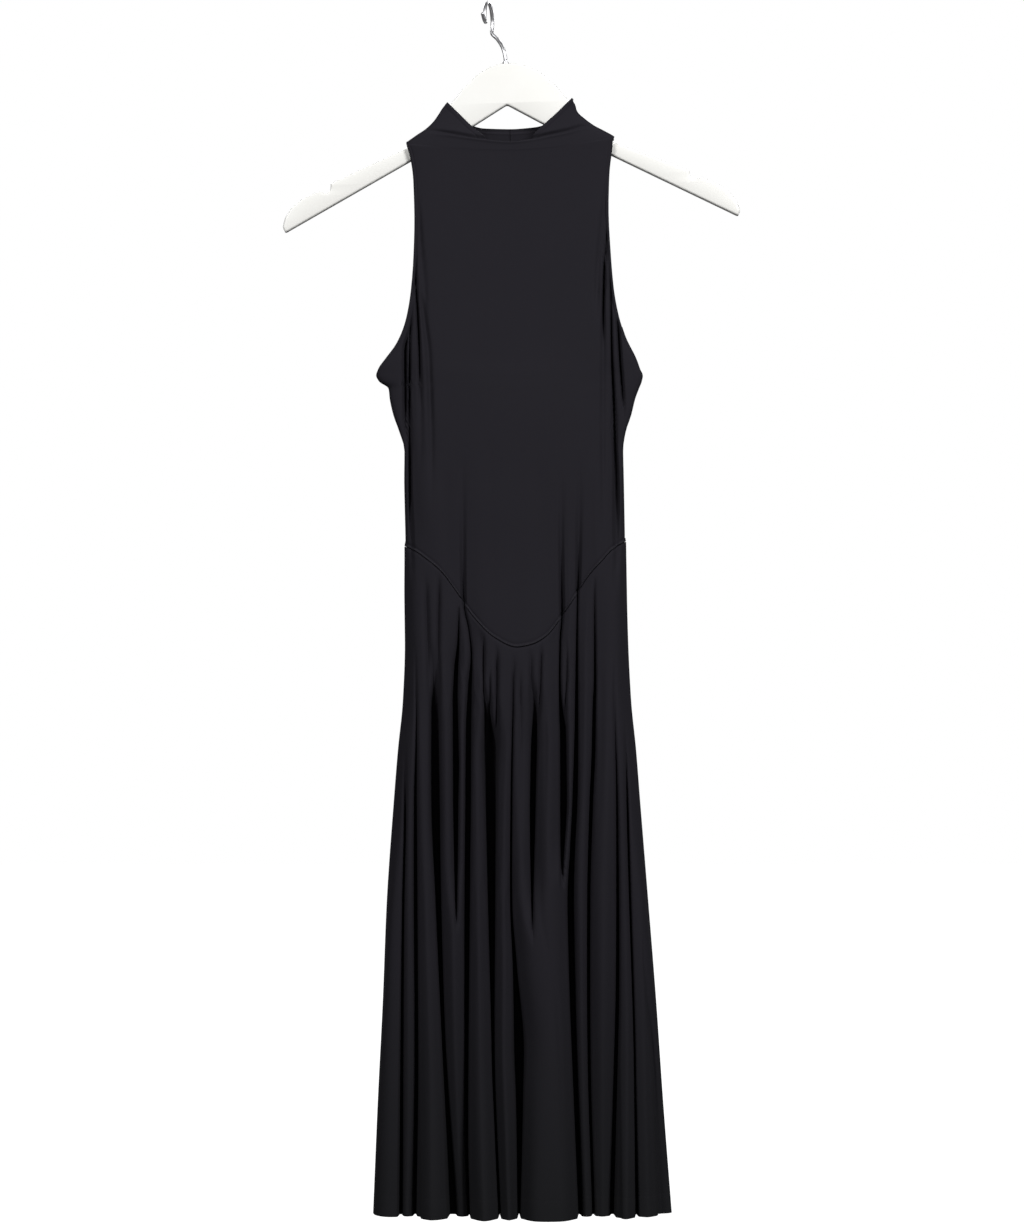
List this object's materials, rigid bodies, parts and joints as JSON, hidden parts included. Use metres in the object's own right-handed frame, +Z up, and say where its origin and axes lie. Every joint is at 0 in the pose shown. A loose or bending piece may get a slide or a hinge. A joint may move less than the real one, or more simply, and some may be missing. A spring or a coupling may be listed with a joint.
{
  "type": "sleeveless high-neck midi dress on a hanger",
  "caption": "Near-black jersey dress with a funnel neck, curved drop-waist seam and deep-folded flared skirt, on a white notched hanger with a wire hook",
  "frame": {"origin": "inside of the hook's top, where a rail would carry it", "axes": "metres, +Z up, front faces -Y, +X to the right as seen from the front"},
  "size_m": [0.4296, 0.0921, 1.139],
  "materials": {
    "jersey": "matte fine knit, near-black with a faint violet tint",
    "white_hanger": "smooth white paint, satin",
    "hook_wire": "plain bright wire"
  },
  "bodies": {
    "root": {"front_bodice": "jersey", "back_bodice_left": "jersey", "back_bodice_right": "jersey", "front_skirt": "jersey", "back_skirt": "jersey", "hanger_body": "white_hanger", "hook": "hook_wire"}
  },
  "joints": []
}
